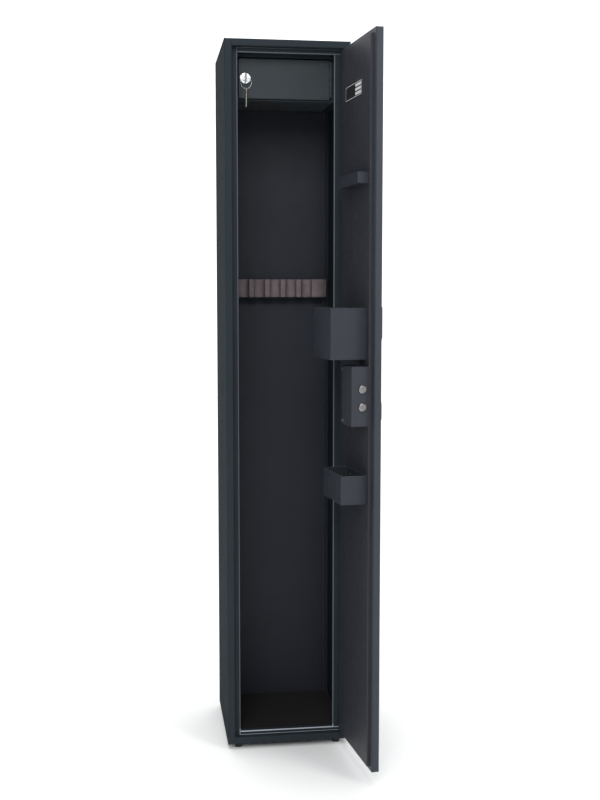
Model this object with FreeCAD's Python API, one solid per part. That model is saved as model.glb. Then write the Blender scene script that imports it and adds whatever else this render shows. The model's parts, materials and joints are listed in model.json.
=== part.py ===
"""Tall gun cabinet with an inset door, a lockable ammunition compartment and door trays.

Frame: X runs to the right, Y runs to the back, Z is up. The origin is the centre of the
floor anchor pattern, on the underside of the bottom panel. The door pieces are modelled
shut and then turned on the hinge pins to the rest pose, which is open.
"""
import FreeCAD, Part
import math
import os

V = FreeCAD.Vector
X_AXIS = V(1, 0, 0)
Y_AXIS = V(0, 1, 0)
Z_AXIS = V(0, 0, 1)

# ---- driving dimensions, mm ----
WIDTH = 264.0
DEPTH = 275.0
HEIGHT = 1500.0
SHEET = 2.0
BEND = 0.8
FRAME_FACE = 15.5
RAIL_FACE = 15.0
REBATE = 17.5
TOP_STOP = 10.0
SILL_STOP = 8.0
SIDE_STOP = 13.0
STOP_LIP = 7.0

DOOR_OPEN = 96.5
DOOR_THICK = 15.0
DOOR_SKIN = 3.0
DOOR_LEFT = -115.5
DOOR_RIGHT = 127.5
DOOR_BOTTOM = 18.0
DOOR_TOP = HEIGHT - 18.0
HINGE_X = 121.0
HINGE_SETBACK = 8.0
HINGE_PIN_R = 4.0
BUSH_R = 5.5
RUN_FIT = 0.05

ANCHOR_R = 5.5
FLOOR_ANCHOR_X = 140.0
FLOOR_ANCHOR_Y = 130.0
WALL_ANCHOR_X = 200.0
WALL_ANCHOR_Z = 1445.0

SHELF_Z = HEIGHT - 102.0
AMMO_FRONT_Y = -85.5
AMMO_DOOR_DEEP = 18.0
AMMO_LEFT = -98.5
AMMO_RIGHT = 96.5
AMMO_BOTTOM = SHELF_Z - 11.0
AMMO_TOP = HEIGHT - 30.0
AMMO_LOCK_X = -84.0
AMMO_GAP = 2.5
KEY_REACH = 17.5
RING_R = 11.0
RING_WIRE = 0.9

REST_LOW = 967.5
REST_HIGH = 1009.5
REST_DEEP = 42.0

BOLT_R = 8.0
BOLT_THROW = 17.0
BOLT_Y = -103.0
BOLT_Z = (755.0, 790.5)
SPINDLE_X = -52.0
SPINDLE_Z = 742.0
CRANK_R = BOLT_THROW / 2.0 / math.sin(math.radians(45.0))
CRANK_PIN_R = 3.0

CASE_X = (-97.0, -29.0)
CASE_Z = (717.0, 835.0)
CASE_DEEP = 35.0
CASE_WALL = 1.5
POST_INSET = 7.0
GUIDE_X = (-95.0, -88.0)
BOLT_TIP = -100.3
BOLT_TAIL = -70.0
KNOB_PLATE = 4.0
KNOB_OUT = 20.0

KEYPAD_X = -73.0
KEYPAD_Z = 919.5
PAD_DEEP = 7.0
PAD_HALF_X = 25.0
PAD_HALF_Z = 34.0
KEY_HALF_X = 4.6
KEY_HALF_Z = 3.4
KEY_PROUD = 2.5
KEY_BURIED = 4.2
KEY_PITCH_X = 12.0
KEY_PITCH_Z = 9.7
KEY_NAMES = (("1", "2", "3"), ("4", "5", "6"), ("7", "8", "9"), ("star", "0", "hash"))

# ---- places worked out from them ----
LEFT = -WIDTH / 2.0
RIGHT = WIDTH / 2.0
FRONT = -DEPTH / 2.0
BACK = DEPTH / 2.0
STOP_Y = FRONT + REBATE
OPEN_LEFT = LEFT + FRAME_FACE + SIDE_STOP
OPEN_RIGHT = RIGHT - 32.0
HINGE_Y = FRONT + HINGE_SETBACK
DOOR_FRONT = FRONT + 1.0
DOOR_REAR = DOOR_FRONT + DOOR_THICK
COVER_Y = DOOR_REAR + 6.0
BACK_INNER = BACK - SHEET
WALL = RIGHT - SHEET
ROOF = HEIGHT - SHEET
UNDER_RAIL = HEIGHT - RAIL_FACE
SILL = RAIL_FACE + SILL_STOP
CASE_Y = (COVER_Y, COVER_Y + CASE_DEEP)
CARRIAGE_Y = (BOLT_Y + BOLT_R, BOLT_Y + BOLT_R + 4.0)
CRANK_Y = (CARRIAGE_Y[0] - 4.5, CARRIAGE_Y[0] - 0.4)
PAD_FRONT = DOOR_FRONT - PAD_DEEP


def block(x, y, z):
    """A box between two planes on each axis."""
    return Part.makeBox(x[1] - x[0], y[1] - y[0], z[1] - z[0], V(x[0], y[0], z[0]))


def rod(radius, start, end):
    """A round bar between two points."""
    run = V(*end) - V(*start)
    return Part.makeCylinder(radius, run.Length, V(*start), run)


def tube(outer, inner, start, end):
    return rod(outer, start, end).cut(rod(inner, start, end))


def group(shapes):
    """Like pieces kept as separate solids in one node."""
    return Part.makeCompound(shapes)


def fuse(shapes):
    """One solid from pieces that meet."""
    whole = shapes[0].multiFuse(shapes[1:])
    return whole.removeSplitter()


def cut_all(shape, tools):
    for tool in tools:
        shape = shape.cut(tool)
    return shape


def round_edges(shape, radius, wanted):
    """Fillet the straight edges that the test picks by their two ends."""
    edges = []
    for edge in shape.Edges:
        if len(edge.Vertexes) == 2 and wanted(edge.Vertexes[0].Point, edge.Vertexes[1].Point):
            edges.append(edge)
    return shape.makeFillet(radius, edges)


def offset_corners(path, distance):
    """The path's corner points moved to its left by a distance, with square ends."""
    moved = []
    last = len(path) - 1
    for i, (u, v) in enumerate(path):
        before = path[max(i - 1, 0)]
        after = path[min(i + 1, last)]
        first = unit(before, (u, v)) if i > 0 else unit((u, v), after)
        second = unit((u, v), after) if i < last else first
        normal_u = -(first[1] + second[1])
        normal_v = first[0] + second[0]
        scale = 1.0 + first[0] * second[0] + first[1] * second[1]
        moved.append((u + distance * normal_u / scale, v + distance * normal_v / scale))
    return moved


def unit(a, b):
    length = math.hypot(b[0] - a[0], b[1] - a[1])
    return ((b[0] - a[0]) / length, (b[1] - a[1]) / length)


def turn_left(a, b, c):
    first = unit(a, b)
    second = unit(b, c)
    return first[0] * second[1] - first[1] * second[0] > 0


def bent_edges(path, radii, place):
    """Straight runs and corner arcs through a path's points."""
    edges = []
    start = path[0]
    for i in range(1, len(path) - 1):
        back = unit(path[i], path[i - 1])
        ahead = unit(path[i], path[i + 1])
        half = math.acos(max(-1.0, min(1.0, back[0] * ahead[0] + back[1] * ahead[1]))) / 2.0
        reach = radii[i] / math.tan(half)
        enter = (path[i][0] + back[0] * reach, path[i][1] + back[1] * reach)
        leave = (path[i][0] + ahead[0] * reach, path[i][1] + ahead[1] * reach)
        middle = unit((0, 0), (back[0] + ahead[0], back[1] + ahead[1]))
        near = radii[i] / math.sin(half) - radii[i]
        arc_mid = (path[i][0] + middle[0] * near, path[i][1] + middle[1] * near)
        edges.append(Part.makeLine(place(start), place(enter)))
        edges.append(Part.Arc(place(enter), place(arc_mid), place(leave)).toShape())
        start = leave
    edges.append(Part.makeLine(place(start), place(path[-1])))
    return edges


def bent_sheet(path, along, span, thickness=SHEET, bend=BEND):
    """A folded sheet. The path is its outer face, and the metal lies to the path's left."""
    def place(point):
        u, v = point
        return {"x": V(span[0], u, v), "y": V(u, span[0], v), "z": V(u, v, span[0])}[along]

    inner = offset_corners(path, thickness)
    outer_radii = [0.0] * len(path)
    inner_radii = [0.0] * len(path)
    for i in range(1, len(path) - 1):
        inward = turn_left(path[i - 1], path[i], path[i + 1])
        outer_radii[i] = bend + thickness if inward else bend
        inner_radii[i] = bend if inward else bend + thickness
    edges = bent_edges(path, outer_radii, place)
    edges.append(Part.makeLine(place(path[-1]), place(inner[-1])))
    edges.extend(reversed(bent_edges(inner, inner_radii, place)))
    edges.append(Part.makeLine(place(inner[0]), place(path[0])))
    axis = {"x": X_AXIS, "y": Y_AXIS, "z": Z_AXIS}[along]
    face = Part.Face(Part.Wire(Part.__sortEdges__(edges)))
    return face.extrude(axis * (span[1] - span[0]))


def open_pan(x, y, z, wall, open_side, corner):
    """A pressed pan: a box shell with no wall on one side of Y, and rounded corners."""
    shell = block(x, y, z)
    closed_y = y[0] if open_side == "back" else y[1]

    def outer_corner(a, b):
        return not (abs(a.y - b.y) < 0.01 and abs(a.y - closed_y) > 0.01)

    shell = round_edges(shell, corner, outer_corner)
    far = wall + 1.0
    inside_y = (y[0] + wall, y[1] + far) if open_side == "back" else (y[0] - far, y[1] - wall)
    inside = block((x[0] + wall, x[1] - wall), inside_y, (z[0] + wall, z[1] - wall))
    return shell.cut(inside)


# ---- cabinet body ----
def rear_flange_reliefs(side):
    """Notches at both ends of a side's rear flange, where the roof and floor flanges go."""
    x = (LEFT + SHEET, LEFT + 13) if side == "left" else (RIGHT - 13, RIGHT - SHEET)
    y = (BACK_INNER - SHEET - 1, BACK_INNER + 1)
    return [block(x, y, z) for z in ((-1, 14.5), (HEIGHT - 14.5, HEIGHT + 1))]


def left_side():
    """Side folded round into the latch-side post, its rebate and its stop."""
    path = [(LEFT + 12, BACK_INNER), (LEFT, BACK_INNER), (LEFT, FRONT), (LEFT + FRAME_FACE, FRONT),
            (LEFT + FRAME_FACE, STOP_Y), (OPEN_LEFT, STOP_Y), (OPEN_LEFT, STOP_Y + STOP_LIP)]
    side = bent_sheet(path, "z", (0, HEIGHT))
    ends = [block((LEFT + SHEET, OPEN_LEFT + 1), (FRONT - 1, STOP_Y + STOP_LIP + 1), z)
            for z in ((-1, SHEET), (ROOF, HEIGHT + 1))]
    return cut_all(side, ends + rear_flange_reliefs("left"))


def right_side():
    path = [(RIGHT, FRONT), (RIGHT, BACK_INNER), (RIGHT - 12, BACK_INNER)]
    side = bent_sheet(path, "z", (0, HEIGHT))
    return cut_all(side, rear_flange_reliefs("right"))


def hinge_side_stop():
    path = [(OPEN_RIGHT, STOP_Y + STOP_LIP), (OPEN_RIGHT, STOP_Y),
            (WALL, STOP_Y), (WALL, STOP_Y + 20)]
    return bent_sheet(path, "z", (SILL, UNDER_RAIL - TOP_STOP))


def post_notches(z):
    """The corner of a rail that the latch-side post fills."""
    return [block((LEFT, LEFT + FRAME_FACE), (FRONT - 1, STOP_Y + 2 * STOP_LIP + 1), z),
            block((LEFT, OPEN_LEFT), (STOP_Y - BEND, STOP_Y + 2 * STOP_LIP + 1), z)]


def top_panel():
    """Roof folded down into the top rail, its rebate and its stop."""
    edge = UNDER_RAIL - TOP_STOP
    path = [(BACK_INNER, HEIGHT - 14), (BACK_INNER, HEIGHT), (FRONT, HEIGHT), (FRONT, UNDER_RAIL),
            (STOP_Y, UNDER_RAIL), (STOP_Y, edge), (STOP_Y + STOP_LIP, edge)]
    panel = bent_sheet(path, "x", (-WALL, WALL))
    return cut_all(panel, post_notches((edge - 1, ROOF)) + [hinge_pin_rod("upper")])


def bottom_panel():
    """Floor folded up into the bottom rail and the sill."""
    path = [(STOP_Y + 2 * STOP_LIP, SILL), (STOP_Y, SILL), (STOP_Y, RAIL_FACE), (FRONT, RAIL_FACE),
            (FRONT, 0), (BACK_INNER, 0), (BACK_INNER, 14)]
    panel = bent_sheet(path, "x", (-WALL, WALL))
    panel = cut_all(panel, post_notches((SHEET, SILL + 1)) + [hinge_pin_rod("lower")])
    return cut_all(panel, floor_anchor_holes() + foot_holes())


def floor_anchor_holes():
    holes = []
    for x in (-FLOOR_ANCHOR_X / 2, FLOOR_ANCHOR_X / 2):
        for y in (-FLOOR_ANCHOR_Y / 2, FLOOR_ANCHOR_Y / 2):
            holes.append(rod(ANCHOR_R, (x, y, -1), (x, y, 16)))
    return holes


def back_panel():
    panel = block((LEFT, RIGHT), (BACK_INNER, BACK), (0, HEIGHT))
    holes = [rod(ANCHOR_R, (x, BACK_INNER - 1, WALL_ANCHOR_Z), (x, BACK + 1, WALL_ANCHOR_Z))
             for x in (-WALL_ANCHOR_X / 2, WALL_ANCHOR_X / 2)]
    return cut_all(panel, holes)


def floor_tray():
    """Raised inner floor, a sheet folded down along both sides."""
    path = [(WALL, SHEET), (WALL, RAIL_FACE), (-WALL, RAIL_FACE), (-WALL, SHEET)]
    tray = bent_sheet(path, "y", (STOP_Y + 22, BACK_INNER - SHEET - 1))
    return cut_all(tray, floor_anchor_holes())


def floor_mat():
    side = WALL - 2.5
    return block((-side, side), (STOP_Y + 8, BACK_INNER - 3), (RAIL_FACE, RAIL_FACE + 3))


def foot_places():
    return [(x, y) for x in (LEFT + 24, RIGHT - 24) for y in (FRONT + 22, BACK - 22)]


def foot_holes():
    return [rod(2.5, (x, y, -13), (x, y, 3)) for x, y in foot_places()]


def feet():
    made = []
    for x, y in foot_places():
        foot = Part.makeCone(7.5, 9.0, 12, V(x, y, -12))
        foot = foot.cut(rod(4.8, (x, y, -13), (x, y, -8)))
        made.append(foot.cut(rod(2.5, (x, y, -9), (x, y, 1))))
    return group(made)


def foot_screws():
    made = []
    for x, y in foot_places():
        head = rod(4.5, (x, y, -10.5), (x, y, -8))
        made.append(head.fuse(rod(2.5, (x, y, -8), (x, y, 8))))
    return group(made)


# ---- door hinges ----
def hinge_pin_rod(end):
    z = (DOOR_TOP - 22, HEIGHT - 6) if end == "upper" else (6, DOOR_BOTTOM + 24)
    return rod(HINGE_PIN_R, (HINGE_X, HINGE_Y, z[0]), (HINGE_X, HINGE_Y, z[1]))


def hinge_plate(end):
    """Block welded behind the rail, which the pin is pressed into."""
    inner = RAIL_FACE - SHEET
    z = (HEIGHT - inner, HEIGHT - inner + 6) if end == "upper" else (inner - 6, inner)
    plate = block((HINGE_X - 18, WALL), (FRONT + SHEET + BEND, STOP_Y - 1), z)
    return plate.cut(hinge_pin_rod(end))


def thrust_washer():
    return tube(8, HINGE_PIN_R, (HINGE_X, HINGE_Y, RAIL_FACE), (HINGE_X, HINGE_Y, DOOR_BOTTOM - 0.3))


def hinge_bush(end):
    """Bush held inside the door's rolled edge, running on the pin."""
    z = (DOOR_TOP - 20, DOOR_TOP) if end == "upper" else (DOOR_BOTTOM, DOOR_BOTTOM + 22)
    return tube(BUSH_R, HINGE_PIN_R + RUN_FIT, (HINGE_X, HINGE_Y, z[0]), (HINGE_X, HINGE_Y, z[1]))


# ---- ammunition compartment ----
def shelf():
    front = AMMO_FRONT_Y + 19
    path = [(BACK_INNER - SHEET - 1, SHELF_Z), (front, SHELF_Z),
            (front, SHELF_Z - 12), (front + 9, SHELF_Z - 12)]
    return bent_sheet(path, "x", (-WALL, WALL))


def shelf_cleats():
    under = SHELF_Z - SHEET
    right = [(WALL, under - 18), (WALL, under), (WALL - 16, under)]
    left = [(16 - WALL, under), (-WALL, under), (-WALL, under - 18)]
    return [bent_sheet(path, "y", (-40, 120)) for path in (left, right)]


def ammo_jamb(side):
    """Channel post between shelf and roof that the small door shuts against."""
    face = AMMO_FRONT_Y
    if side == "left":
        inner = AMMO_LEFT - AMMO_GAP
        path = [(-WALL, face + 18), (-WALL, face), (inner, face), (inner, face + 15)]
    else:
        inner = AMMO_RIGHT + AMMO_GAP
        path = [(inner, face + 15), (inner, face), (WALL, face), (WALL, face + 18)]
    return bent_sheet(path, "z", (AMMO_BOTTOM, ROOF))


def ammo_header():
    face = AMMO_FRONT_Y
    low = AMMO_TOP + AMMO_GAP
    path = [(face + 24, ROOF), (face, ROOF), (face, low), (face + 12, low)]
    return bent_sheet(path, "x", (AMMO_LEFT - AMMO_GAP, AMMO_RIGHT + AMMO_GAP))


def ammo_hinge_line():
    return (AMMO_RIGHT + 1.5, AMMO_FRONT_Y - 3.5)


def ammo_knuckles(owner):
    """Knuckles alternate along the hinge: the frame's at the ends and the middle."""
    step = (AMMO_TOP - AMMO_BOTTOM - 10) / 5.0
    low = AMMO_BOTTOM + 5
    picked = (0, 2, 4) if owner == "frame" else (1, 3)
    return [(low + i * step + 0.15, low + (i + 1) * step - 0.15) for i in picked]


def ammo_hinge_leaf(owner):
    x, y = ammo_hinge_line()
    bore = 1.5 if owner == "frame" else 1.5 + RUN_FIT
    leaf_y = (AMMO_FRONT_Y - 1.0, AMMO_FRONT_Y)
    reach = 20.0
    z = (AMMO_BOTTOM + 5, AMMO_TOP - 5)
    pieces = []
    if owner == "frame":
        plate_x = (x + 3.4, x + reach)
        tab_x = (x, x + 3.6)
    else:
        plate_x = (x - reach, x - 3.4)
        tab_x = (x - 3.6, x)
    pieces.append(block(plate_x, leaf_y, z))
    for span in ammo_knuckles(owner):
        pieces.append(block(tab_x, leaf_y, span))
        pieces.append(rod(3.0, (x, y, span[0]), (x, y, span[1])))
    leaf = fuse(pieces)
    return leaf.cut(rod(bore, (x, y, z[0] - 1), (x, y, z[1] + 1)))


def ammo_hinge_pin():
    x, y = ammo_hinge_line()
    head = rod(2.6, (x, y, AMMO_TOP - 5), (x, y, AMMO_TOP - 3.5))
    return rod(1.5, (x, y, AMMO_BOTTOM + 4), (x, y, AMMO_TOP - 5)).fuse(head)


def ammo_door_pan():
    x = (AMMO_LEFT, AMMO_RIGHT)
    y = (AMMO_FRONT_Y, AMMO_FRONT_Y + AMMO_DOOR_DEEP)
    pan = open_pan(x, y, (AMMO_BOTTOM, AMMO_TOP), 1.5, "back", 1.2)
    return pan.cut(rod(9.0, ammo_lock_at(-1), ammo_lock_at(3)))


def ammo_lock_at(depth):
    """A point on the small lock's axis, a depth behind the small door's face."""
    return (AMMO_LOCK_X, AMMO_FRONT_Y + depth, (AMMO_BOTTOM + AMMO_TOP) / 2.0)


def cam_lock_body():
    flange = rod(11.5, ammo_lock_at(-2.2), ammo_lock_at(0))
    barrel = rod(9.0, ammo_lock_at(0), ammo_lock_at(18.6))
    body = fuse([flange, barrel])
    edge = [e for e in body.Edges if abs(e.BoundBox.YMin - (AMMO_FRONT_Y - 2.2)) < 0.01]
    body = body.makeFillet(0.8, edge)
    return body.cut(rod(6.0 + RUN_FIT, ammo_lock_at(-3), ammo_lock_at(20)))


def cam_lock_nut():
    centre = V(*ammo_lock_at(1.5))
    hexagon = []
    for i in range(7):
        angle = math.radians(60 * i)
        hexagon.append(centre + V(13.0 * math.cos(angle), 0, 13.0 * math.sin(angle)))
    nut = Part.Face(Part.makePolygon(hexagon)).extrude(Y_AXIS * 5)
    return nut.cut(rod(9.0, ammo_lock_at(0), ammo_lock_at(10)))


def cam_lock_plug():
    plug = rod(6.0, ammo_lock_at(-2.6), ammo_lock_at(19.2))
    stub = rod(3.0, ammo_lock_at(19.2), ammo_lock_at(21.2))
    x, y, z = ammo_lock_at(0)
    keyway = block((x - 1.1, x + 1.1), (y - 3, y + 17.2), (z - 4.2, z + 4.2))
    return fuse([plug, stub]).cut(keyway)


def lock_cam():
    """Flat latch that points up when free and to the left when it is locked."""
    x, y, z = ammo_lock_at(19.2)
    y_span = (y, y + SHEET)
    arm = block((x - 6.5, x + 6.5), y_span, (z, z + 30))
    tip = rod(6.5, (x, y, z + 30), (x, y + SHEET, z + 30))
    hub = rod(8.5, (x, y, z), (x, y + SHEET, z))
    return fuse([arm, tip, hub]).cut(rod(3.0, (x, y - 1, z), (x, y + 5, z)))


def cam_screw():
    return rod(5.0, ammo_lock_at(21.2), ammo_lock_at(23.7))


def key():
    """A flat key whose blade fills the keyway, and whose bow stands out in front."""
    x, y, z = ammo_lock_at(0)
    blade = block((x - 1.0, x + 1.0), (y - 10, y + 16.5), (z - 3.8, z + 3.8))
    shoulder = block((x - 1.0, x + 1.0), (y - 8, y - 3.2), (z - 5.5, z + 5.5))
    bow_y = y - KEY_REACH + 4.0
    bow = rod(9.0, (x - 1.0, bow_y, z), (x + 1.0, bow_y, z))
    tools = [rod(3.2, (x - 3, y - KEY_REACH, z), (x + 3, y - KEY_REACH, z))]
    for i, deep in enumerate((1.2, 2.0, 0.8, 1.6)):
        notch_y = y + 1.5 + 4.0 * i
        tools.append(block((x - 2, x + 2), (notch_y - 1, notch_y + 1), (z - 5, z - 3.8 + deep)))
    return cut_all(fuse([blade, shoulder, bow]), tools)


def ring_centre():
    x, y, z = ammo_lock_at(0)
    return V(x, y - KEY_REACH, z - 2.0 - RING_R)


def key_ring():
    return Part.makeTorus(RING_R, RING_WIRE, ring_centre(), Y_AXIS)


def spare_key():
    """The second key of the pair, hung on the ring with its blade down."""
    centre = ring_centre()
    x, y = centre.x, centre.y
    hole_z = centre.z - RING_R - 2.0
    bow = rod(8.0, (x - 1.0, y, hole_z - 3.0), (x + 1.0, y, hole_z - 3.0))
    blade = block((x - 1.0, x + 1.0), (y - 3.8, y + 3.8), (hole_z - 36, hole_z - 8))
    shoulder = block((x - 1.0, x + 1.0), (y - 5.5, y + 5.5), (hole_z - 15, hole_z - 9))
    tools = [rod(3.2, (x - 3, y, hole_z), (x + 3, y, hole_z))]
    for i, deep in enumerate((1.6, 0.9, 2.1, 1.3)):
        low = hole_z - 33 + 4.0 * i
        tools.append(block((x - 2, x + 2), (y + 3.8 - deep, y + 5), (low, low + 2)))
    return cut_all(fuse([bow, blade, shoulder]), tools)


# ---- barrel rest ----
def barrel_rest():
    """Foam block across the back with a notch for each barrel."""
    front = BACK_INNER - REST_DEEP
    rest = block((LEFT + 13, RIGHT - 13), (front, BACK_INNER), (REST_LOW, REST_HIGH))
    seat_y = front + 11
    span = (REST_LOW - 1, REST_HIGH + 1)
    notches = []
    for i in range(5):
        x = (i - 2) * 36.5
        notches.append(rod(12, (x, seat_y, span[0]), (x, seat_y, span[1])))
        notches.append(block((x - 12, x + 12), (front - 1, seat_y), span))
    return cut_all(rest, notches)


def barrel_rest_bracket():
    """Angle spot-welded to the back panel, under the foam."""
    path = [(BACK_INNER, REST_LOW - 16), (BACK_INNER, REST_LOW), (BACK_INNER - 16, REST_LOW)]
    return bent_sheet(path, "x", (LEFT + 16, RIGHT - 16))


# ---- main door, modelled shut ----
def on_door(shape):
    shape = shape.copy()
    shape.rotate(V(HINGE_X, HINGE_Y, 0), Z_AXIS, DOOR_OPEN)
    return shape


def door_outer_shell():
    """Thick outer skin folded back on all sides, with a rolled hinge edge."""
    outer = block((DOOR_LEFT, DOOR_RIGHT), (DOOR_FRONT, DOOR_REAR), (DOOR_BOTTOM, DOOR_TOP))
    outer = round_edges(outer, 5.0, lambda a, b: upright_at(DOOR_RIGHT, a, b))
    outer = round_edges(outer, 3.5, lambda a, b: max(a.x, b.x) < DOOR_LEFT + 0.01)
    hollow_right = DOOR_RIGHT - SHEET
    hollow = block((DOOR_LEFT + SHEET, hollow_right), (DOOR_FRONT + DOOR_SKIN, DOOR_REAR - SHEET),
                   (DOOR_BOTTOM + SHEET, DOOR_TOP - SHEET))
    hollow = round_edges(hollow, 3.0, lambda a, b: upright_at(hollow_right, a, b))
    mouth = block((DOOR_LEFT + 27, DOOR_RIGHT - 45), (DOOR_REAR - SHEET - 1, DOOR_REAR + 1),
                  (DOOR_BOTTOM + 27, DOOR_TOP - 27))
    bores = [rod(BUSH_R, (HINGE_X, HINGE_Y, DOOR_BOTTOM - 1), (HINGE_X, HINGE_Y, DOOR_BOTTOM + 22)),
             rod(BUSH_R, (HINGE_X, HINGE_Y, DOOR_TOP - 20), (HINGE_X, HINGE_Y, DOOR_TOP + 1)),
             rod(4.5, spindle_at(DOOR_FRONT - 1), spindle_at(DOOR_FRONT + 5)),
             rod(5.0, cable_hole_at(DOOR_FRONT - 1), cable_hole_at(DOOR_FRONT + 5))]
    return cut_all(outer, [hollow, mouth] + bores)


def upright_at(x, a, b):
    """True for a long upright edge that lies at one X."""
    return abs(a.x - x) < 0.01 and abs(b.x - x) < 0.01 and abs(a.z - b.z) > 100


def cable_hole_at(y):
    """A point on the hole behind the keypad that its cable goes through."""
    return (KEYPAD_X, y, KEYPAD_Z - 24)


def door_inner_cover():
    x = (DOOR_LEFT + 17.5, DOOR_RIGHT - 35.5)
    z = (SILL + 1.5, UNDER_RAIL - TOP_STOP - 1.5)
    cover = open_pan(x, (DOOR_REAR, COVER_Y), z, 1.5, "front", 1.2)
    return cover.cut(rod(5.0, spindle_at(DOOR_REAR), spindle_at(COVER_Y + 1)))


def spindle_at(y):
    return (SPINDLE_X, y, SPINDLE_Z)


def door_stiffener():
    """Top-hat rib between the outer skin and the inner cover, beside the lock."""
    front = DOOR_FRONT + DOOR_SKIN
    crest = COVER_Y - 1.5 - SHEET
    path = [(-16, front), (0, front), (0, crest), (26, crest), (26, front), (42, front)]
    return bent_sheet(path, "z", (80, HEIGHT - 80))


def data_plate():
    return block((-45, 66), (COVER_Y, COVER_Y + 0.5), (1366, 1397))


def door_tray(x, deep, z, lip):
    """Open-topped steel tray on the inner cover, with a small rolled front lip."""
    wall = 1.5
    outer = block(x, (COVER_Y, COVER_Y + deep), z)
    outer = round_edges(outer, 1.2, lambda a, b: abs(a.z - b.z) > 5 and a.y > COVER_Y + 1)
    inner_x = (x[0] + wall, x[1] - wall)
    inside = block(inner_x, (COVER_Y + wall, COVER_Y + deep - wall), (z[0] + wall, z[1] + 1))
    tray = outer.cut(inside)
    if lip > 0:
        front = COVER_Y + deep
        roll = block(inner_x, (front - wall - lip, front - wall), (z[1] - wall, z[1]))
        tray = fuse([tray, roll])
    return tray


def rod_clip_tray():
    return door_tray((-88.0, 52.0), 21.5, (1190.5, 1212.0), 0)


def deep_box():
    return door_tray((-80.0, 50.0), 73.0, (848.0, 949.0), 4.0)


def low_tray():
    return door_tray((-87.0, 43.0), 53.0, (560.5, 618.0), 4.0)


def tray_rivets():
    """Dome rivets that hold the three trays to the inner cover, seen inside each tray."""
    rows = (((-60, 24), 1203.0, 1.5), ((-60, 30), 930.0, 1.5), ((-66, 22), 604.0, 1.5))
    made = []
    for places, z, skin in rows:
        for x in places:
            base = COVER_Y + skin
            dome = Part.makeSphere(4.5, V(x, base - 2.9, z))
            dome = dome.common(block((x - 6, x + 6), (base, base + 3), (z - 6, z + 6)))
            made.append(dome)
    return made


# ---- lock and bolts, modelled shut ----
def post_places():
    """Places of the two posts that the lock case is screwed to."""
    x = CASE_X[1] - POST_INSET
    return [(x, CASE_Z[0] + POST_INSET), (x, CASE_Z[1] - POST_INSET)]


def lock_case():
    case = open_pan(CASE_X, CASE_Y, CASE_Z, CASE_WALL, "front", 1.2)
    left = CASE_X[0]
    holes = [rod(BOLT_R + 0.6, (left - 1, BOLT_Y, z), (left + 3, BOLT_Y, z)) for z in BOLT_Z]
    for x, z in post_places():
        holes.append(rod(2.1, (x, CASE_Y[1] - 3, z), (x, CASE_Y[1] + 1, z)))
    return cut_all(case, holes)


def case_screws():
    face = CASE_Y[1]
    made = []
    for x, z in post_places():
        head = rod(3.8, (x, face, z), (x, face + 2.0, z))
        shank = rod(2.1, (x, face - 12, z), (x, face, z))
        slot = block((x - 4, x + 4), (face + 1.1, face + 3), (z - 0.5, z + 0.5))
        made.append(fuse([head, shank]).cut(slot))
    return made


def lock_plate():
    """Base plate of the lock, with two tapped posts for the case screws."""
    side = CASE_WALL + 0.1
    plate = block((CASE_X[0] + side, CASE_X[1] - side), (COVER_Y, COVER_Y + 3),
                  (CASE_Z[0] + side, CASE_Z[1] - side))
    pieces = [plate]
    tools = [rod(4.0 + RUN_FIT, spindle_at(COVER_Y - 1), spindle_at(COVER_Y + 4))]
    for x, z in post_places():
        pieces.append(rod(4.5, (x, COVER_Y + 2, z), (x, CASE_Y[1] - CASE_WALL, z)))
        tools.append(rod(2.1, (x, CASE_Y[1] - 12, z), (x, CASE_Y[1], z)))
    return cut_all(fuse(pieces), tools)


def bolt_guide():
    """Block whose two open saddles hold the bolts past their middles."""
    guide = block(GUIDE_X, (COVER_Y + 3, BOLT_Y + 5), (BOLT_Z[0] - 13, BOLT_Z[1] + 13))
    start, end = GUIDE_X[0] - 1, GUIDE_X[1] + 1
    bores = [rod(BOLT_R + RUN_FIT, (start, BOLT_Y, z), (end, BOLT_Y, z)) for z in BOLT_Z]
    return cut_all(guide, bores)


def rim_at(shape, y):
    """The round edges that lie flat at one Y."""
    return [e for e in shape.Edges if len(e.Vertexes) == 1
            and abs(e.BoundBox.YMin - y) < 0.01 and abs(e.BoundBox.YMax - y) < 0.01]


def bolt(z):
    """Round bolt with a chamfered nose and a tapped flat for its carriage screw."""
    bar = rod(BOLT_R, (BOLT_TIP, BOLT_Y, z), (BOLT_TAIL, BOLT_Y, z))
    nose = [e for e in bar.Edges if e.BoundBox.XMax < BOLT_TIP + 0.01]
    bar = bar.makeChamfer(1.2, nose)
    return bar.cut(carriage_screw(z))


def carriage_screw(z):
    x = BOLT_TAIL - 4
    shank = rod(2.0, (x, BOLT_Y - 2, z), (x, CARRIAGE_Y[1], z))
    head = rod(3.6, (x, CARRIAGE_Y[1], z), (x, CARRIAGE_Y[1] + 2.2, z))
    return fuse([shank, head])


def bolt_carriage():
    """Plate across both bolts, with an upright slot for the crank pin."""
    pin_x = SPINDLE_X + BOLT_THROW / 2
    through = (CARRIAGE_Y[0] - 1, CARRIAGE_Y[1] + 1)
    plate = block((BOLT_TAIL - 8, pin_x + 7.5), CARRIAGE_Y, (SPINDLE_Z + 1, BOLT_Z[1] + 10))
    relief = block((BOLT_TAIL + 6, pin_x + 9), through, (SPINDLE_Z + 24, BOLT_Z[1] + 12))
    slot_half = CRANK_PIN_R + 0.6
    slot_z = (SPINDLE_Z + BOLT_THROW / 2, SPINDLE_Z + CRANK_R)
    slot = [block((pin_x - slot_half, pin_x + slot_half), through, slot_z)]
    slot += [rod(slot_half, (pin_x, through[0], z), (pin_x, through[1], z)) for z in slot_z]
    return cut_all(plate, [relief] + slot + [carriage_screw(z) for z in BOLT_Z])


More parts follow.
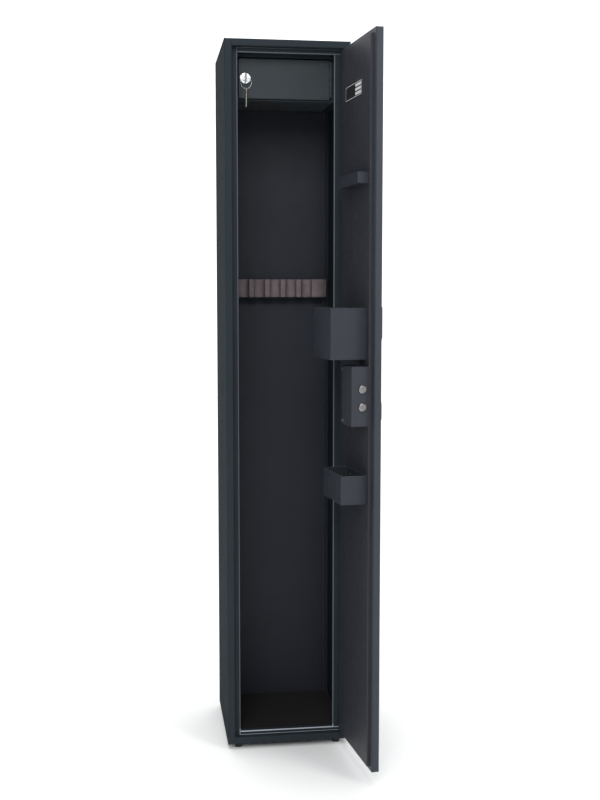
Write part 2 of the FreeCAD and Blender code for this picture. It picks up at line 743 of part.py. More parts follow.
def crank():
    """Spindle through the door, with the disc and pin that drive the carriage."""
    pin_x = SPINDLE_X + BOLT_THROW / 2
    pin_z = SPINDLE_Z + BOLT_THROW / 2
    disc = rod(16.0, (SPINDLE_X, CRANK_Y[0], SPINDLE_Z), (SPINDLE_X, CRANK_Y[1], SPINDLE_Z))
    pin = rod(CRANK_PIN_R, (pin_x, CRANK_Y[1], pin_z), (pin_x, CARRIAGE_Y[1] + 1, pin_z))
    spindle = rod(4.0, spindle_at(DOOR_FRONT - KNOB_PLATE - 8), spindle_at(CRANK_Y[1]))
    return fuse([disc, pin, spindle])


def knob_plate():
    """Round escutcheon on the outside of the door."""
    front = DOOR_FRONT - KNOB_PLATE
    plate = rod(23.0, spindle_at(front), spindle_at(DOOR_FRONT))
    plate = plate.makeFillet(1.5, rim_at(plate, front))
    return plate.cut(rod(4.0 + RUN_FIT, spindle_at(front - 1), spindle_at(DOOR_FRONT + 1)))


def knob():
    """Turned knob with a thumb bar across its face."""
    back = DOOR_FRONT - KNOB_PLATE - 0.3
    front = DOOR_FRONT - KNOB_OUT
    skirt = rod(18.0, spindle_at(back - 6), spindle_at(back))
    skirt = skirt.makeFillet(1.5, rim_at(skirt, back - 6))
    half = 5.5
    bar = block((SPINDLE_X - half, SPINDLE_X + half), (front, back - 5), (SPINDLE_Z - 17, SPINDLE_Z + 17))
    bar = bar.common(rod(17.2, spindle_at(front - 1), spindle_at(back)))

    def long_front_edge(a, b):
        return abs(a.y - front) < 0.01 and abs(b.y - front) < 0.01 and abs(a.x - b.x) < 0.01

    bar = round_edges(bar, 2.0, long_front_edge)
    body = fuse([skirt, bar])
    return body.cut(rod(4.0, spindle_at(DOOR_FRONT - KNOB_PLATE - 8), spindle_at(back + 1)))


def solenoid():
    """Locking solenoid beside the carriage, with its plunger drawn in."""
    middle = -53.0
    body = block((middle - 9, middle + 9), (COVER_Y + 3, COVER_Y + 19), (800.0, 826.0))
    plunger = rod(3.0, (middle, COVER_Y + 11, 792.0), (middle, COVER_Y + 11, 800.0))
    return fuse([body, plunger])


# ---- keypad, modelled shut ----
def key_places():
    places = {}
    for row, names in enumerate(KEY_NAMES):
        for column, name in enumerate(names):
            x = KEYPAD_X + (column - 1) * KEY_PITCH_X
            z = KEYPAD_Z + (1.5 - row) * KEY_PITCH_Z
            places[name] = (x, z)
    return places


def keypad_housing():
    x = (KEYPAD_X - PAD_HALF_X, KEYPAD_X + PAD_HALF_X)
    z = (KEYPAD_Z - PAD_HALF_Z, KEYPAD_Z + PAD_HALF_Z)
    housing = block(x, (PAD_FRONT, DOOR_FRONT), z)
    housing = round_edges(housing, 6.0, lambda a, b: abs(a.y - b.y) > 5)
    front_edges = [e for e in housing.Edges if e.BoundBox.YMax < PAD_FRONT + 0.01]
    housing = housing.makeFillet(2.5, front_edges)
    half_x, half_z = KEY_HALF_X + 0.3, KEY_HALF_Z + 0.3
    deep = (PAD_FRONT - 1, PAD_FRONT + KEY_BURIED + 1.4)
    pockets = []
    for cx, cz in key_places().values():
        pockets.append(block((cx - half_x, cx + half_x), deep, (cz - half_z, cz + half_z)))
    for x, lens_z in lens_places():
        pockets.append(rod(1.8, (x, PAD_FRONT - 1, lens_z), (x, PAD_FRONT + 3, lens_z)))
    return cut_all(housing, pockets)


def lens_places():
    return [(KEYPAD_X + side, KEYPAD_Z + 27) for side in (-6.0, 6.0)]


def keypad_key(place):
    cx, cz = place
    depth = (PAD_FRONT - KEY_PROUD, PAD_FRONT + KEY_BURIED)
    cap = block((cx - KEY_HALF_X, cx + KEY_HALF_X), depth, (cz - KEY_HALF_Z, cz + KEY_HALF_Z))
    cap = round_edges(cap, 1.2, lambda a, b: abs(a.y - b.y) > 5)
    crown = [e for e in cap.Edges if e.BoundBox.YMax < PAD_FRONT - KEY_PROUD + 0.01]
    return cap.makeFillet(0.8, crown)


def keypad_lenses():
    return group([rod(1.8, (x, PAD_FRONT - 0.4, z), (x, PAD_FRONT + 3, z)) for x, z in lens_places()])


def bolt_keeper():
    """Plate behind the latch-side stop that takes the thrown bolts."""
    face = STOP_Y + SHEET
    path = [(-WALL, face + 26), (-WALL, face), (OPEN_LEFT - SHEET - 1, face)]
    return bent_sheet(path, "z", (BOLT_Z[0] - 30, BOLT_Z[1] + 30), thickness=4.0)


def build():
    nodes = {
        "left_side_panel": left_side(),
        "right_side_panel": right_side(),
        "hinge_side_stop": hinge_side_stop(),
        "top_panel": top_panel(),
        "bottom_panel": bottom_panel(),
        "back_panel": back_panel(),
        "floor_tray": floor_tray(),
        "floor_mat": floor_mat(),
        "feet": feet(),
        "foot_screws": foot_screws(),
        "hinge_plates": group([hinge_plate("upper"), hinge_plate("lower")]),
        "hinge_pins": group([hinge_pin_rod("upper"), hinge_pin_rod("lower"), thrust_washer()]),
        "bolt_keeper": bolt_keeper(),
        "shelf": shelf(),
        "inner_brackets": group(shelf_cleats() + [barrel_rest_bracket()]),
        "ammo_frame": group([ammo_jamb("left"), ammo_jamb("right"), ammo_header()]),
        "ammo_hinge_frame_leaf": group([ammo_hinge_leaf("frame"), ammo_hinge_pin()]),
        "barrel_rest": barrel_rest(),
        "ammo_door_pan": ammo_door_pan(),
        "ammo_hinge_door_leaf": ammo_hinge_leaf("door"),
        "cam_lock_body": cam_lock_body(),
        "cam_lock_nut": cam_lock_nut(),
        "cam_lock_plug": cam_lock_plug(),
        "lock_cam": group([lock_cam(), cam_screw()]),
        "key": key(),
        "key_ring": key_ring(),
        "spare_key": spare_key(),
    }
    door_nodes = {
        "door_outer_shell": door_outer_shell(),
        "door_inner_cover": door_inner_cover(),
        "door_stiffener": door_stiffener(),
        "hinge_bushes": group([hinge_bush("upper"), hinge_bush("lower")]),
        "data_plate": data_plate(),
        "rod_clip_tray": rod_clip_tray(),
        "deep_box": deep_box(),
        "low_tray": low_tray(),
        "lock_case": lock_case(),
        "door_fasteners": group(tray_rivets() + case_screws()),
        "lock_plate": lock_plate(),
        "bolt_guide": bolt_guide(),
        "bolts": group([bolt(z) for z in BOLT_Z]),
        "bolt_carriage": bolt_carriage(),
        "carriage_screws": group([carriage_screw(z) for z in BOLT_Z]),
        "crank": crank(),
        "knob_plate": knob_plate(),
        "knob": knob(),
        "solenoid": solenoid(),
        "keypad_housing": keypad_housing(),
        "keypad_lenses": keypad_lenses(),
    }
    for name, place in key_places().items():
        door_nodes["key_" + name] = keypad_key(place)
    for name, shape in door_nodes.items():
        nodes[name] = on_door(shape)
    return nodes


os.makedirs("parts", exist_ok=True)
for node, solid in build().items():
    solid.exportStep("parts/" + node + ".step")
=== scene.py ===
"""Looks of the tall gun cabinet: coats, foam, mat, plate, key legends, floor, light and camera."""
import bpy
import bmesh
import json
import math
from mathutils import Matrix, Vector, noise


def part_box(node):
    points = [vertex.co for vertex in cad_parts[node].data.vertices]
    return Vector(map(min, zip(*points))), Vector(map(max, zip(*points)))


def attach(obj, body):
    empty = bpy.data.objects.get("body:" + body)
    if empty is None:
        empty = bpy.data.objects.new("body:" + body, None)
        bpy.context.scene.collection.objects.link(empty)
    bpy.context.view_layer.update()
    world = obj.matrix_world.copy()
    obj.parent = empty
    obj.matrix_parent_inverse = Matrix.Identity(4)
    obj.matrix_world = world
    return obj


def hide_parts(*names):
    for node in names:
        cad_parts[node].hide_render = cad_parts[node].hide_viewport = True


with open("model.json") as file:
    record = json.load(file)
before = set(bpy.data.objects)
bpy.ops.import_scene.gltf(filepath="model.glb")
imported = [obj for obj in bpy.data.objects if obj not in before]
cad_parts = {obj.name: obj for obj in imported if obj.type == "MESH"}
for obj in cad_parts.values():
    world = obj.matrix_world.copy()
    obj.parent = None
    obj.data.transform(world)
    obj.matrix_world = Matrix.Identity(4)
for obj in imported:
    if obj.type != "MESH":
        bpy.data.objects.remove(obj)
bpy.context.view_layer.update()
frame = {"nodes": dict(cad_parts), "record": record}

MM = 0.001

# The camera stands 2.4 m in front of the door frame, a little higher than the keypad.
CAMERA_PLACE = Vector((-312.8, -2564.1, 984.1)) * MM
CAMERA_YAW = math.radians(7.93)
CAMERA_PITCH = math.radians(5.43)
CAMERA_LENS = 51.98

DOOR_OPEN = math.radians(96.5)
DOOR_OUT = Vector((math.sin(DOOR_OPEN), -math.cos(DOOR_OPEN), 0.0))
DOOR_ALONG = Vector((math.cos(DOOR_OPEN), math.sin(DOOR_OPEN), 0.0))
UP = Vector((0.0, 0.0, 1.0))

STOP_FACE = -120 * MM
SILL_TOP = 23 * MM

NOTCH_PITCH = 36.5 * MM
NOTCH_RADIUS = 12 * MM
NOTCH_SEAT = 11 * MM
NOTCH_LIP = 3.0 * MM
NOTCHES = 5

PLATE_LENGTH = 111 * MM
BAR_PITCH = 8.2 * MM
BAR_START = 12 * MM
HALF_BAR = 2.7 * MM

SWEEP_SIDE = 9.0
SWEEP_TURN = 2.6
SWEEP_RADIUS = 1.6


# ---- colour and nodes ----
def to_linear(hex_colour):
    """An sRGB hex colour as linear red, green, blue and a full alpha."""
    parts = [int(hex_colour[i:i + 2], 16) / 255.0 for i in (1, 3, 5)]
    parts = [p / 12.92 if p <= 0.04045 else ((p + 0.055) / 1.055) ** 2.4 for p in parts]
    return (*parts, 1.0)


def per_metre(size_mm):
    """A texture's scale for a feature of this size."""
    return 1.0 / (size_mm * MM)


def node(tree, kind, inputs=None, **settings):
    """Add a shader node. Its inputs are values or the outputs of other nodes."""
    made = tree.nodes.new("ShaderNode" + kind)
    for name, value in settings.items():
        setattr(made, name, value)
    for name, value in (inputs or {}).items():
        if isinstance(value, bpy.types.NodeSocket):
            tree.links.new(value, made.inputs[name])
        else:
            made.inputs[name].default_value = value
    return made


def blank_material(name):
    material = bpy.data.materials.new(name)
    material.use_nodes = True
    material.node_tree.nodes.clear()
    return material, material.node_tree


def shade(tree, inputs):
    """Close a material with its shader."""
    shader = node(tree, "BsdfPrincipled", inputs)
    node(tree, "OutputMaterial", {"Surface": shader.outputs["BSDF"]})


def object_place(tree, stretch=(1.0, 1.0, 1.0)):
    place = node(tree, "TexCoord").outputs["Object"]
    return node(tree, "Mapping", {"Vector": place, "Scale": stretch}).outputs["Vector"]


def grain(tree, place, size_mm, detail=2.0, roughness=0.5):
    """Even noise with grains of about this size."""
    inputs = {"Vector": place, "Scale": per_metre(size_mm), "Detail": detail, "Roughness": roughness}
    return node(tree, "TexNoise", inputs).outputs["Fac"]


def spread(tree, value, low, high, start=0.3, end=0.7):
    """A noise value stretched over a range."""
    inputs = {"Value": value, "From Min": start, "From Max": end, "To Min": low, "To Max": high}
    return node(tree, "MapRange", inputs).outputs["Result"]


def blend_colours(tree, amount, first, second):
    inputs = {"Factor": amount, "A": first, "B": second}
    made = node(tree, "Mix", data_type="RGBA")
    for name, value in inputs.items():
        socket = [s for s in made.inputs if s.name == name and s.enabled][0]
        if isinstance(value, bpy.types.NodeSocket):
            tree.links.new(value, socket)
        else:
            socket.default_value = value
    return [s for s in made.outputs if s.enabled][0]


def raised(tree, height, distance_mm, strength, under=None):
    """A bump of this real height."""
    inputs = {"Height": height, "Distance": distance_mm * MM, "Strength": strength}
    if under is not None:
        inputs["Normal"] = under
    return node(tree, "Bump", inputs).outputs["Normal"]


def bevel_and_edge_mask(tree, radius_mm):
    """A softened normal, and a mask that is 1 on sharp edges."""
    soft = node(tree, "Bevel", {"Radius": radius_mm * MM}, samples=6).outputs["Normal"]
    flat = node(tree, "NewGeometry").outputs["Normal"]
    turn = node(tree, "VectorMath", {0: soft, 1: flat}, operation="DOT_PRODUCT").outputs["Value"]
    return soft, spread(tree, turn, 0.0, 1.0, start=0.985, end=0.80)


def front_bends(tree, place, depth, reach):
    """A mask that is 1 on bends in the sheet near one depth into the cabinet."""
    normal = node(tree, "NewGeometry").outputs["Normal"]
    facing = node(tree, "SeparateXYZ", {"Vector": normal}).outputs["Y"]
    square = node(tree, "Math", {0: facing, 1: facing}, operation="MULTIPLY").outputs[0]
    sideways = node(tree, "Math", {0: 1.0, 1: square}, operation="SUBTRACT").outputs[0]
    turned = node(tree, "Math", {0: square, 1: sideways}, operation="MULTIPLY").outputs[0]
    bend = spread(tree, turned, 0.0, 1.0, start=0.04, end=0.16)
    here = node(tree, "SeparateXYZ", {"Vector": place}).outputs["Y"]
    away = node(tree, "Math", {0: here, 1: depth}, operation="SUBTRACT").outputs[0]
    away = node(tree, "Math", {0: away}, operation="ABSOLUTE").outputs[0]
    near = spread(tree, away, 1.0, 0.0, start=0.6 * reach, end=reach)
    return node(tree, "Math", {0: bend, 1: near}, operation="MULTIPLY").outputs[0]


# ---- finishes ----
def powder_coat(name, colour, edge_wear_and_highlight_colour, roughness=0.46, shine=0.3,
                lip_highlight_colour=None, sill_highlight_colour=None):
    """Polyester powder baked on sheet steel: satin, with a soft orange peel and thin edges painted paler,
    partly worn coat and partly a painted highlight.
    The bends at the lips of the door stops carry a painted highlight, brightest along the sill."""
    material, tree = blank_material(name)
    place = object_place(tree)
    soft, edge = bevel_and_edge_mask(tree, 1.2)
    peel = grain(tree, place, 3.2, detail=1.0)
    grit = grain(tree, place, 0.7, detail=1.0)
    cloud = spread(tree, grain(tree, place, 160, detail=3.0), 0.0, 1.0)
    handling = spread(tree, grain(tree, place, 24, detail=5.0, roughness=0.7), -0.05, 0.07)
    deep = [c * 0.90 for c in to_linear(colour)[:3]] + [1.0]
    base = blend_colours(tree, cloud, deep, to_linear(colour))
    # Sharp edges take the paler edge colour: partly coat worn thin, partly a painted highlight.
    edge_wear_and_highlight_mask = node(tree, "Math", {0: edge, 1: spread(tree, peel, 0.35, 0.8)}, operation="MULTIPLY").outputs[0]
    base = blend_colours(tree, edge_wear_and_highlight_mask, base, to_linear(edge_wear_and_highlight_colour))
    # Bends near the stop face get a painted highlight colour, brightest along the sill.
    if lip_highlight_colour:
        height = node(tree, "SeparateXYZ", {"Vector": place}).outputs["Z"]
        sill = spread(tree, height, 1.0, 0.0, start=SILL_TOP + 3 * MM, end=SILL_TOP + 7 * MM)
        painted_lip_highlight = blend_colours(tree, sill, to_linear(lip_highlight_colour), to_linear(sill_highlight_colour))
        lip = front_bends(tree, place, STOP_FACE, 4 * MM)
        base = blend_colours(tree, lip, base, painted_lip_highlight)
    gloss = node(tree, "Math", {0: handling, 1: roughness}, operation="ADD").outputs[0]
    normal = raised(tree, peel, 0.10, 0.55, soft)
    normal = raised(tree, grit, 0.03, 0.35, normal)
    shade(tree, {"Base Color": base, "Roughness": gloss, "Normal": normal, "Specular IOR Level": shine})
    return material


def pressed_felt(name, colour, fleck):
    """Needle-punched polyester felt: matt, with loose fibres that catch a little light."""
    material, tree = blank_material(name)
    place = object_place(tree)
    fibre = grain(tree, object_place(tree, (1.0, 0.25, 1.0)), 1.2, detail=4.0, roughness=0.7)
    cross = grain(tree, object_place(tree, (0.25, 1.0, 1.0)), 1.2, detail=4.0, roughness=0.7)
    both = node(tree, "Math", {0: fibre, 1: cross}, operation="MAXIMUM").outputs[0]
    worn = spread(tree, grain(tree, place, 70, detail=2.0), 0.0, 0.35)
    base = blend_colours(tree, spread(tree, both, 0.0, 1.0, 0.5, 0.72), to_linear(colour), to_linear(fleck))
    base = blend_colours(tree, worn, base, to_linear(fleck))
    shade(tree, {"Base Color": base, "Roughness": 0.92, "Normal": raised(tree, both, 0.5, 0.8),
                 "Sheen Weight": 0.06, "Sheen Roughness": 0.5, "Specular IOR Level": 0.1})
    return material


def cut_foam(name, colour, hollow_shade_and_tone_colour):
    """Closed-cell polyethylene foam cut by hot wire: matt, with cells of about a millimetre."""
    material, tree = blank_material(name)
    place = object_place(tree)
    cells = node(tree, "TexVoronoi", {"Vector": place, "Scale": per_metre(1.6)}).outputs["Distance"]
    drag = grain(tree, object_place(tree, (1.0, 1.0, 0.12)), 1.8, detail=3.0)
    pores = spread(tree, cells, 0.0, 1.0, 0.15, 0.55)
    tone = spread(tree, grain(tree, place, 18, detail=3.0), 0.0, 0.55)
    # The hollows of the cut cells are painted darker, a painted shade; the tone noise below adds random
    # darker patches of colour.
    base = blend_colours(tree, pores, to_linear(hollow_shade_and_tone_colour), to_linear(colour))
    base = blend_colours(tree, tone, base, to_linear(hollow_shade_and_tone_colour))
    normal = raised(tree, drag, 0.35, 0.5)
    normal = raised(tree, pores, 0.35, 0.6, normal)
    shade(tree, {"Base Color": base, "Roughness": 0.88, "Normal": normal, "IOR": 1.45})
    return material


def plated(name, colour, roughness, lay=(1.0, 1.0, 0.05), lay_mm=0.5, depth_mm=0.02):
    """Electroplated steel: bright metal that keeps the fine lay of its turning or grinding."""
    material, tree = blank_material(name)
    soft, _ = bevel_and_edge_mask(tree, 0.5)
    marks = grain(tree, object_place(tree, lay), lay_mm, detail=3.0, roughness=0.6)
    film = spread(tree, grain(tree, object_place(tree), 9, detail=2.0), 0.0, 1.0)
    dull = [c * 0.82 for c in to_linear(colour)[:3]] + [1.0]
    base = blend_colours(tree, film, dull, to_linear(colour))
    rough = spread(tree, marks, roughness * 0.75, roughness * 1.4)
    shade(tree, {"Base Color": base, "Metallic": 1.0, "Roughness": rough,
                 "Normal": raised(tree, marks, depth_mm, 0.4, soft)})
    return material


def moulded(name, colour, roughness, texture_mm=0.6, depth_mm=0.05, coat=0.0, ior=1.5):
    """Moulded plastic or rubber: the tool's spark-eroded texture gives a fine, even grain."""
    material, tree = blank_material(name)
    soft, edge = bevel_and_edge_mask(tree, 0.4)
    place = object_place(tree)
    texture = grain(tree, place, texture_mm, detail=2.0)
    shine = spread(tree, grain(tree, place, 14, detail=3.0), roughness * 0.9, roughness * 1.12)
    pale = [min(1.0, c * 1.35 + 0.004) for c in to_linear(colour)[:3]] + [1.0]
    base = blend_colours(tree, edge, to_linear(colour), pale)
    shade(tree, {"Base Color": base, "Roughness": shine, "IOR": ior, "Coat Weight": coat,
                 "Normal": raised(tree, texture, depth_mm, 0.5, soft)})
    return material


def screen_ink(name, colour):
    """Screen-printed ink: flat and a little uneven where the mesh has laid it down."""
    material, tree = blank_material(name)
    weave = grain(tree, object_place(tree), 0.5, detail=1.0)
    thin = [c * 0.8 for c in to_linear(colour)[:3]] + [1.0]
    base = blend_colours(tree, spread(tree, weave, 0.0, 1.0), thin, to_linear(colour))
    shade(tree, {"Base Color": base, "Roughness": 0.5, "Normal": raised(tree, weave, 0.02, 0.3)})
    return material


def studio_paper(name, colour):
    """Matt paper sweep under and behind the cabinet."""
    material, tree = blank_material(name)
    fibre = grain(tree, object_place(tree), 3.0, detail=2.0)
    thin = [c * 0.985 for c in to_linear(colour)[:3]] + [1.0]
    base = blend_colours(tree, spread(tree, fibre, 0.0, 1.0), thin, to_linear(colour))
    shade(tree, {"Base Color": base, "Roughness": 0.9})
    return material


FINISHES = {
    # The body's stop lips and sill take painted highlight colours.
    "body_paint": powder_coat("body_powder_coat", "#2c3236", "#747b82", roughness=0.75, shine=0.01,
                              lip_highlight_colour="#63686e", sill_highlight_colour="#acb2bc"),
    "back_paint": powder_coat("back_powder_coat", "#2c2e36", "#4a4e57", roughness=0.5, shine=0.2),
    # The shelf's coat is a paler copy of the body coat: a painted highlight for the light falling on its
    # front lip from above.
    "shelf_paint": powder_coat("shelf_powder_coat_painted_light", "#464c50", "#7a8085", roughness=0.5, shine=0.2),
    "door_paint": powder_coat("door_powder_coat", "#2d323a", "#767c87"),
    "cover_paint": powder_coat("cover_powder_coat", "#2e3036", "#8b8f99"),
    "tray_paint": powder_coat("tray_powder_coat", "#2d3137", "#5c626b", shine=0.2),
    "case_paint": powder_coat("case_powder_coat", "#31343a", "#666b75", shine=0.2),
    "ammo_door_paint": powder_coat("ammo_door_powder_coat", "#2f363a", "#596067", shine=0.2),
    "small_hinge_steel": powder_coat("small_hinge_powder_coat", "#2f3539", "#5a6066", shine=0.2),
    "mat_fabric": pressed_felt("mat_felt", "#0d0c0e", "#1b191c"),
    "rest_foam": cut_foam("rest_foam", "#7f7476", "#635a5c"),
    "foot_rubber": moulded("foot_rubber", "#151618", 0.62, texture_mm=0.8),
    "zinc_steel": plated("bright_zinc", "#8d9193", 0.34, lay=(1.0, 1.0, 1.0), lay_mm=1.2),
    "bolt_chrome": plated("bolt_chrome", "#a3a09e", 0.20),
    "lock_chrome": plated("lock_chrome", "#b4b6b8", 0.2),
    "key_steel": plated("key_nickel", "#7f796d", 0.34, lay=(1.0, 0.1, 1.0)),
    "ring_steel": plated("ring_spring_steel", "#cfd1d2", 0.16, lay=(1.0, 1.0, 1.0)),
    "bush_brass": plated("bush_brass", "#b5934f", 0.28),
    "solenoid_shell": plated("solenoid_shell", "#94979a", 0.36),
    "plate_black": moulded("plate_black", "#131418", 0.34, texture_mm=0.5, coat=0.3),
    "knob_black": powder_coat("knob_powder_coat", "#1b1c1f", "#45474a", roughness=0.36),
    "keypad_plastic": moulded("keypad_abs", "#1d1f22", 0.46, depth_mm=0.07),
    "key_rubber": moulded("key_silicone", "#303338", 0.55, texture_mm=0.4, depth_mm=0.03, ior=1.41),
    "lens_plastic": moulded("lens_polycarbonate", "#5a0f10", 0.12, depth_mm=0.0, coat=1.0, ior=1.58),
}
INK = screen_ink("plate_ink", "#dcdcdc")
LEGEND = screen_ink("legend_ink", "#c9cccf")


def coat(piece, material):
    """Put one material in every slot of a piece."""
    if not piece.material_slots:
        piece.data.materials.append(material)
    for holder in piece.material_slots:
        holder.material = material


def piece_from(name, mesh, material, body):
    """A new piece that rides on a body."""
    piece = bpy.data.objects.new(name, mesh)
    bpy.context.scene.collection.objects.link(piece)
    coat(piece, material)
    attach(piece, body)
    return piece


def mesh_of(name, shape):
    mesh = bpy.data.meshes.new(name)
    shape.to_mesh(mesh)
    shape.free()
    return mesh


# ---- barrel rest ----
def notch_curve(middle, front):
    """One notch's outline from its left lip to its right lip, with eased lips."""
    points = []
    for step in range(5):
        angle = math.radians(22.5 * step)
        points.append((middle - NOTCH_RADIUS - NOTCH_LIP * (1 - math.sin(angle)),
                       front + NOTCH_LIP * (1 - math.cos(angle))))
    seat = front + NOTCH_SEAT
    for step in range(17):
        angle = math.pi - math.pi * step / 16
        points.append((middle + NOTCH_RADIUS * math.cos(angle), seat + NOTCH_RADIUS * math.sin(angle)))
    for step in range(4, -1, -1):
        angle = math.radians(22.5 * step)
        points.append((middle + NOTCH_RADIUS + NOTCH_LIP * (1 - math.sin(angle)),
                       front + NOTCH_LIP * (1 - math.cos(angle))))
    return points


def make_barrel_rest():
    """Foam block with rounded rims and a soft notch for each barrel."""
    low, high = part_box("barrel_rest")
    inset = 0.3 * MM
    front = low.y + inset
    outline = [(low.x + inset, high.y - inset), (low.x + inset, front)]
    for i in range(NOTCHES):
        outline.extend(notch_curve((i - (NOTCHES - 1) / 2) * NOTCH_PITCH, front))
    outline.extend([(high.x - inset, front), (high.x - inset, high.y - inset)])
    shape = bmesh.new()
    ring = [shape.verts.new((x, y, low.z + inset)) for x, y in outline]
    base = shape.faces.new(ring)
    grown = bmesh.ops.extrude_face_region(shape, geom=[base])
    top = [v for v in grown["geom"] if isinstance(v, bmesh.types.BMVert)]
    bmesh.ops.translate(shape, verts=top, vec=(0, 0, high.z - low.z - 2 * inset))
    bmesh.ops.recalc_face_normals(shape, faces=shape.faces)
    rims = [e for e in shape.edges if abs(e.verts[0].co.z - e.verts[1].co.z) < MM]
    bmesh.ops.bevel(shape, geom=rims, offset=2.2 * MM, segments=3, profile=0.5, affect="EDGES")
    walls = [e for e in shape.edges if abs(e.verts[0].co.z - e.verts[1].co.z) > 10 * MM]
    bmesh.ops.subdivide_edges(shape, edges=walls, cuts=10)
    for vertex in shape.verts:
        slump = 0.35 * MM * noise.noise(vertex.co * per_metre(30))
        vertex.co.y += slump if vertex.co.y < high.y - 6 * MM else 0.0
    rest = piece_from("soft_barrel_rest", mesh_of("soft_barrel_rest", shape), FINISHES["rest_foam"],
                      "cabinet")
    for face in rest.data.polygons:
        face.use_smooth = abs(face.normal.z) < 0.9
    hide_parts("barrel_rest")


# ---- floor mat ----
def make_floor_mat():
    """Felt cut a little short of the walls, lying in low waves on the raised floor."""
    low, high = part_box("floor_mat")
    width, length = high.x - low.x, high.y - low.y
    thick = 2.2 * MM
    gap = 0.3 * MM
    wave_height = 0.4 * MM
    shape = bmesh.new()
    across, along = 72, 70
    bmesh.ops.create_grid(shape, x_segments=across, y_segments=along, size=0.5)
    for vertex in shape.verts:
        u, v = vertex.co.x + 0.5, vertex.co.y + 0.5
        wave = noise.noise(Vector((u * 3.0, v * 3.0, 1.7)))
        vertex.co = Vector((low.x + u * width, low.y + v * length,
                            low.z + thick + gap + wave_height * wave))
    bmesh.ops.recalc_face_normals(shape, faces=shape.faces)
    mat = piece_from("felt_mat", mesh_of("felt_mat", shape), FINISHES["mat_fabric"], "cabinet")
    bpy.context.view_layer.objects.active = mat
    skin = mat.modifiers.new("thickness", "SOLIDIFY")
    skin.thickness = thick
    skin.offset = -1.0
    for face in mat.data.polygons:
        face.use_smooth = True
    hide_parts("floor_mat")


# ---- split ring ----
def make_key_ring():
    """Split ring: flat-wound spring wire that laps itself for nearly two turns."""
    low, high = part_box("key_ring")
    centre = (low + high) / 2
    wire = 0.42 * MM
    radius = (high.x - low.x) / 2 - 2 * wire
    curve = bpy.data.curves.new("split_ring", "CURVE")
    curve.dimensions = "3D"
    curve.bevel_depth = wire
    curve.bevel_resolution = 4
    turns, steps = 1.9, 76
    line = curve.splines.new("POLY")
    line.points.add(steps)
    for i in range(steps + 1):
        angle = 2 * math.pi * turns * i / steps
        side = wire * (2.0 * i / steps - 1.0)
        line.points[i].co = (centre.x + radius * math.cos(angle), centre.y + side,
                             centre.z + radius * math.sin(angle), 1.0)
    ring = bpy.data.objects.new("split_ring", curve)
    bpy.context.scene.collection.objects.link(ring)
    bpy.context.view_layer.update()
    mesh = bpy.data.meshes.new_from_object(ring.evaluated_get(bpy.context.evaluated_depsgraph_get()))
    bpy.data.objects.remove(ring)
    made = piece_from("wound_key_ring", mesh, FINISHES["ring_steel"], "ring")
    for face in made.data.polygons:
        face.use_smooth = True
    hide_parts("key_ring")


# ---- plate and legends ----
def door_point(middle, along, up, out):
    """A point near a place on the door: along it to its free edge, up, and out of its outer face."""
    return middle - DOOR_ALONG * along + UP * up + DOOR_OUT * out


def add_bar(shape, middle, along, up, thick):
    """A thin printed bar on the inner side of the door."""
    corners = []
    for out in (0.0, -thick):
        for a, u in ((0, 0), (1, 0), (1, 1), (0, 1)):
            corners.append(shape.verts.new(door_point(middle, along[a], up[u], out)))
    shape.faces.new(corners[:4])
    shape.faces.new(corners[4:])
    for i in range(4):
        j = (i + 1) % 4
        shape.faces.new((corners[i], corners[j], corners[4 + j], corners[4 + i]))


def make_plate_print():
    """Pale border and three blank bars on the black plate."""
    low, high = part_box("data_plate")
    middle = (low + high) / 2 - DOOR_OUT * 0.25 * MM
    margin = 2.2 * MM
    half_along = PLATE_LENGTH / 2 - margin
    half_up = (high.z - low.z) / 2 - margin
    line = 0.9 * MM
    thick = 0.06 * MM
    shape = bmesh.new()
    for side in (-1, 1):
        edge = side * half_up
        add_bar(shape, middle, (-half_along, half_along), (edge - line / 2, edge + line / 2), thick)
        end = side * half_along
        add_bar(shape, middle, (end - line / 2, end + line / 2),
                (-half_up + line / 2, half_up - line / 2), thick)
    for row in (-1, 0, 1):
        mid = row * BAR_PITCH
        add_bar(shape, middle, (BAR_START, half_along - 3 * MM), (mid - HALF_BAR, mid + HALF_BAR), thick)
    bmesh.ops.recalc_face_normals(shape, faces=shape.faces)
    piece_from("plate_print", mesh_of("plate_print", shape), INK, "door")


def make_legend(name, sign, size):
    """A plain raised sign on the face of one keypad key."""
    low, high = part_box("key_" + name)
    half_deep = 3.35 * MM
    face = (low + high) / 2 + DOOR_OUT * half_deep
    text = bpy.data.curves.new("legend", "FONT")
    text.body = sign
    text.size = size
    text.extrude = 0.05 * MM
    text.align_x = "CENTER"
    text.align_y = "CENTER"
    holder = bpy.data.objects.new("legend", text)
    bpy.context.scene.collection.objects.link(holder)
    bpy.context.view_layer.update()
    mesh = bpy.data.meshes.new_from_object(holder.evaluated_get(bpy.context.evaluated_depsgraph_get()))
    bpy.data.objects.remove(holder)
    turn = Matrix((DOOR_ALONG, UP, DOOR_OUT)).transposed().to_4x4()
    mesh.transform(Matrix.Translation(face) @ turn)
    piece_from("legend_" + name, mesh, LEGEND, "key_%s_cap" % name)


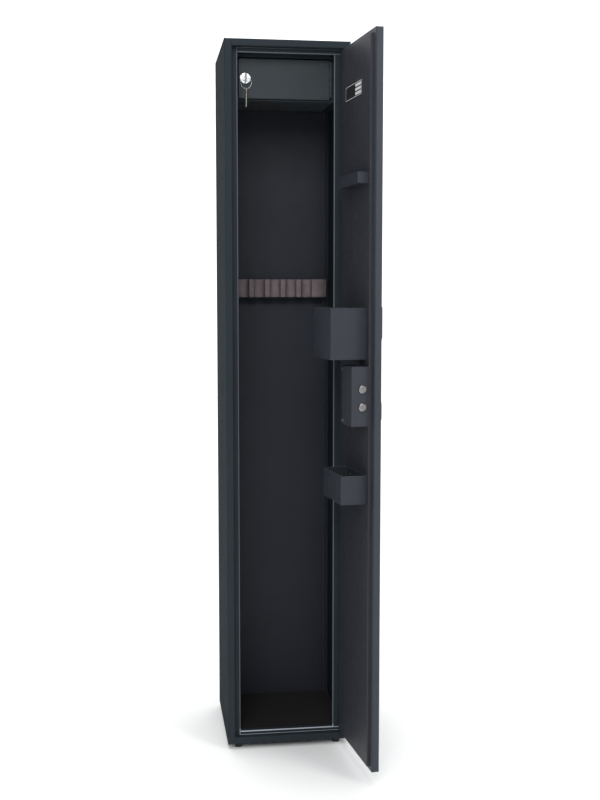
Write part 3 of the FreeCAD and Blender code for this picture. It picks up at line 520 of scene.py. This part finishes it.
# ---- floor, light and camera ----
def make_sweep():
    """Paper floor that curves up behind the cabinet."""
    low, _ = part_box("feet")
    profile = [(-SWEEP_SIDE, low.z), (SWEEP_TURN, low.z)]
    for step in range(1, 13):
        angle = math.radians(7.5 * step)
        profile.append((SWEEP_TURN + SWEEP_RADIUS * math.sin(angle),
                        low.z + SWEEP_RADIUS * (1 - math.cos(angle))))
    profile.append((SWEEP_TURN + SWEEP_RADIUS, 9.0))
    shape = bmesh.new()
    rows = [[shape.verts.new((x, y, z)) for x in (-SWEEP_SIDE, SWEEP_SIDE)] for y, z in profile]
    for first, second in zip(rows, rows[1:]):
        shape.faces.new((first[0], first[1], second[1], second[0]))
    sweep = bpy.data.objects.new("paper_sweep", mesh_of("paper_sweep", shape))
    bpy.context.scene.collection.objects.link(sweep)
    for face in sweep.data.polygons:
        face.use_smooth = True
    coat(sweep, studio_paper("studio_paper", "#fafaf9"))


def make_softbox(name, place, aim, width, height, power):
    light = bpy.data.lights.new(name, "AREA")
    light.shape = "RECTANGLE"
    light.size = width
    light.size_y = height
    light.energy = power
    box = bpy.data.objects.new(name, light)
    box.location = place
    box.rotation_euler = (Vector(aim) - Vector(place)).to_track_quat("-Z", "Y").to_euler()
    bpy.context.scene.collection.objects.link(box)


def make_studio():
    make_sweep()
    make_softbox("key_softbox", (-0.6, -3.4, 2.7), (0.0, 0.0, 0.8), 1.8, 2.0, 60)
    make_softbox("edge_softbox", (2.2, -2.6, 1.9), (0.1, -0.2, 1.0), 1.0, 2.2, 38)
    make_softbox("top_softbox", (0.0, -0.6, 3.4), (0.0, 0.0, 0.8), 2.4, 2.0, 30)
    make_softbox("backdrop_softbox", (0.0, 1.9, 4.4), (0.0, 4.1, 1.6), 4.0, 0.8, 90)
    world = bpy.data.worlds.new("studio_air")
    world.use_nodes = True
    air = world.node_tree.nodes["Background"]
    air.inputs["Color"].default_value = to_linear("#f2f4f7")
    air.inputs["Strength"].default_value = 0.72
    bpy.context.scene.world = world
    bpy.context.scene.view_settings.view_transform = "Standard"


def make_camera():
    lens = bpy.data.cameras.new("camera")
    lens.lens = CAMERA_LENS
    lens.sensor_width = 36.0
    lens.clip_start = 0.05
    camera = bpy.data.objects.new("camera", lens)
    camera.location = CAMERA_PLACE
    camera.rotation_euler = (math.pi / 2 - CAMERA_PITCH, 0.0, -CAMERA_YAW)
    bpy.context.scene.collection.objects.link(camera)
    bpy.context.scene.camera = camera


make_camera()
make_studio()
for entry in frame["record"]["subparts"]:
    coat(frame["nodes"][entry["node"]], FINISHES[entry["material_slot"]])
coat(frame["nodes"]["back_panel"], FINISHES["back_paint"])
# The shelf takes the paler coat with its painted highlight.
coat(frame["nodes"]["shelf"], FINISHES["shelf_paint"])
make_barrel_rest()
make_floor_mat()
make_key_ring()
make_plate_print()
for digit in "1234567890":
    make_legend(digit, digit, 5.2 * MM)
make_legend("star", "*", 7.0 * MM)
make_legend("hash", "#", 4.6 * MM)
